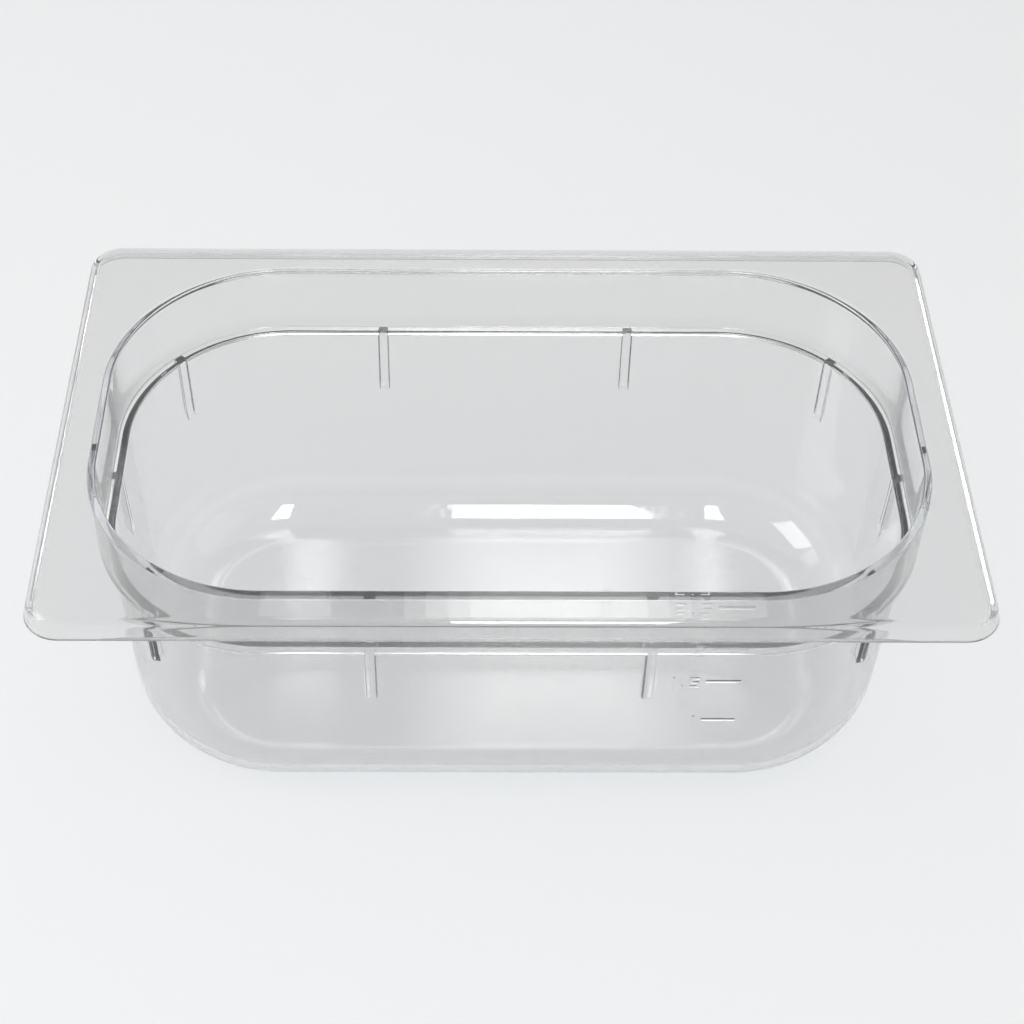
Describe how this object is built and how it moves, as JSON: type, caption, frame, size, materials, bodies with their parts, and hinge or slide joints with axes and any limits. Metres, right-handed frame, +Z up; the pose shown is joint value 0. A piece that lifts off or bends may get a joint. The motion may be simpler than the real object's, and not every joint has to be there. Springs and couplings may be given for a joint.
{
  "type": "deli food pan",
  "caption": "Clear plastic gastronorm food pan with a flat turned-down rim, upright collar, stacking shoulder, stacking lugs and a moulded litre scale.",
  "frame": {"origin": "middle of the underside, on the surface that the pan stands on", "axes": "+Z up out of the mouth, +X along the long side; the litre scale is on the -Y wall"},
  "size_m": [0.265, 0.162, 0.1],
  "materials": {
    "clear_polycarbonate": "clear colourless polycarbonate, polished mould faces, faint scuffs"
  },
  "bodies": {
    "root": {"rim_flange": "clear_polycarbonate", "rim_lip": "clear_polycarbonate", "collar": "clear_polycarbonate", "stacking_shoulder": "clear_polycarbonate", "basin_floor": "clear_polycarbonate", "basin_front": "clear_polycarbonate", "basin_back": "clear_polycarbonate", "basin_left": "clear_polycarbonate", "basin_right": "clear_polycarbonate", "basin_corner_front_left": "clear_polycarbonate", "basin_corner_front_right": "clear_polycarbonate", "basin_corner_back_left": "clear_polycarbonate", "basin_corner_back_right": "clear_polycarbonate", "stacking_lug_1": "clear_polycarbonate", "stacking_lug_2": "clear_polycarbonate", "stacking_lug_3": "clear_polycarbonate", "stacking_lug_4": "clear_polycarbonate", "stacking_lug_5": "clear_polycarbonate", "stacking_lug_6": "clear_polycarbonate", "stacking_lug_7": "clear_polycarbonate", "stacking_lug_8": "clear_polycarbonate", "stacking_lug_9": "clear_polycarbonate", "stacking_lug_10": "clear_polycarbonate", "scale_lines": "clear_polycarbonate", "scale_numerals": "clear_polycarbonate"}
  },
  "joints": []
}
